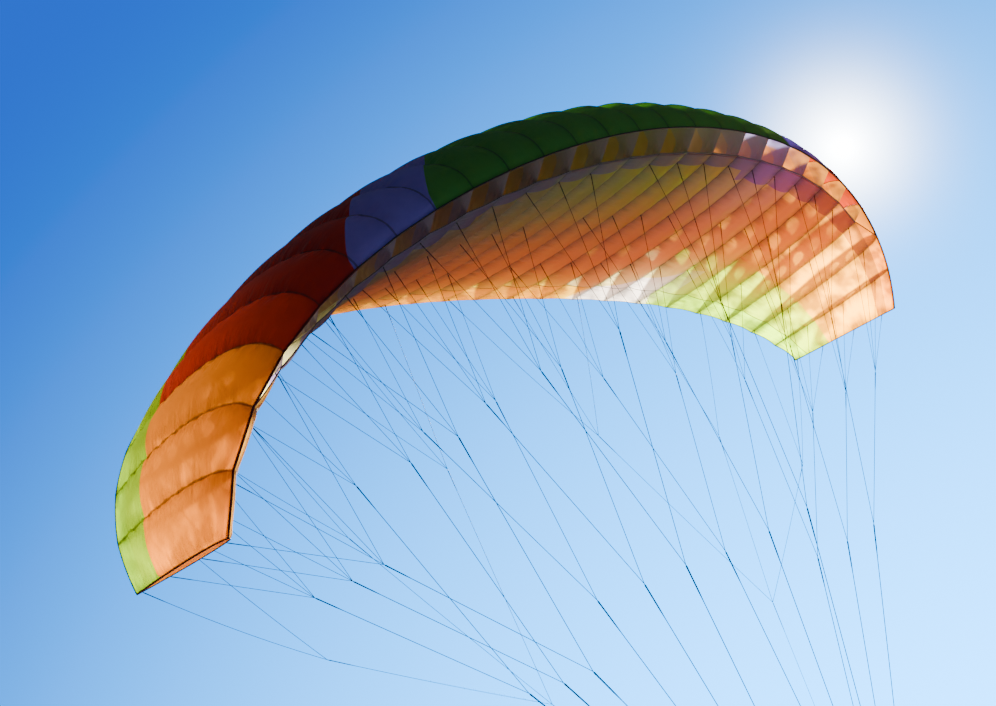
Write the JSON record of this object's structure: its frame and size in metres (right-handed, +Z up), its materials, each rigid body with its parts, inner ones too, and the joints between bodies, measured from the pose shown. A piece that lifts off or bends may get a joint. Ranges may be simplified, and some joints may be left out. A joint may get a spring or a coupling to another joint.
{
  "type": "speed wing",
  "caption": "Small ram-air wing in flight: arched sail of open cells with branching suspension lines, risers, links, brake pulleys and toggles.",
  "frame": {"origin": "the rider's place, midway between the two hook-in loops of the risers", "axes": "+X along the span to the pilot's left, -Y forward, +Z up"},
  "size_m": [6.1545, 2.0773, 5.323],
  "materials": {
    "upper_cloth_tip": "coated ripstop",
    "upper_cloth_shoulder": "coated ripstop",
    "upper_cloth_centre": "coated ripstop",
    "lower_cloth_tip": "coated ripstop",
    "lower_cloth_shoulder": "coated ripstop",
    "lower_cloth_centre": "coated ripstop",
    "line": "sheathed cord",
    "webbing": "woven",
    "steel": "brushed",
    "sheave": "moulded"
  },
  "bodies": {
    "wing": {"upper_sail_right_tip": "upper_cloth_tip", "lower_sail_right_tip": "lower_cloth_tip", "upper_sail_right_outer": "upper_cloth_tip", "lower_sail_right_outer": "lower_cloth_shoulder", "upper_sail_right_shoulder": "upper_cloth_shoulder", "lower_sail_right_shoulder": "lower_cloth_shoulder", "upper_sail_right_middle": "upper_cloth_centre", "lower_sail_right_middle": "lower_cloth_centre", "upper_sail_right_inner": "upper_cloth_centre", "lower_sail_right_inner": "lower_cloth_centre", "upper_sail_right_centre": "upper_cloth_centre", "lower_sail_right_centre": "lower_cloth_centre", "upper_sail_left_centre": "upper_cloth_centre", "lower_sail_left_centre": "lower_cloth_centre", "upper_sail_left_inner": "upper_cloth_centre", "lower_sail_left_inner": "lower_cloth_centre", "upper_sail_left_middle": "upper_cloth_centre", "lower_sail_left_middle": "lower_cloth_centre", "upper_sail_left_shoulder": "upper_cloth_shoulder", "lower_sail_left_shoulder": "lower_cloth_shoulder", "upper_sail_left_outer": "upper_cloth_tip", "lower_sail_left_outer": "lower_cloth_shoulder", "upper_sail_left_tip": "upper_cloth_tip", "lower_sail_left_tip": "lower_cloth_tip", "a_lines_inner_left": "line", "a_lines_outer_left": "line", "b_lines_inner_left": "line", "b_lines_outer_left": "line", "c_lines_inner_left": "line", "c_lines_outer_left": "line", "brake_lines_left": "line", "a_lines_inner_right": "line", "a_lines_outer_right": "line", "b_lines_inner_right": "line", "b_lines_outer_right": "line", "c_lines_inner_right": "line", "c_lines_outer_right": "line", "brake_lines_right": "line", "hook_loop_left": "webbing", "a_riser_left": "webbing", "b_riser_left": "webbing", "c_riser_left": "webbing", "a_link_left": "steel", "b_link_left": "steel", "c_link_left": "steel", "brake_pulley_left": "steel", "brake_toggle_left": "webbing", "trim_buckle_left": "steel", "hook_loop_right": "webbing", "a_riser_right": "webbing", "b_riser_right": "webbing", "c_riser_right": "webbing", "a_link_right": "steel", "b_link_right": "steel", "c_link_right": "steel", "brake_pulley_right": "steel", "brake_toggle_right": "webbing", "trim_buckle_right": "steel"},
    "left_sheave": {"brake_sheave_left": "sheave"},
    "right_sheave": {"brake_sheave_right": "sheave"}
  },
  "joints": [
    {"name": "left_sheave_spin", "type": "hinge", "parent": "wing", "child": "left_sheave", "pos_m": [0.2304, 0.05016, 0.32838], "axis": [1, 0, 0], "continuous": true},
    {"name": "right_sheave_spin", "type": "hinge", "parent": "wing", "child": "right_sheave", "pos_m": [-0.2304, 0.05016, 0.32838], "axis": [1, 0, 0], "continuous": true}
  ]
}
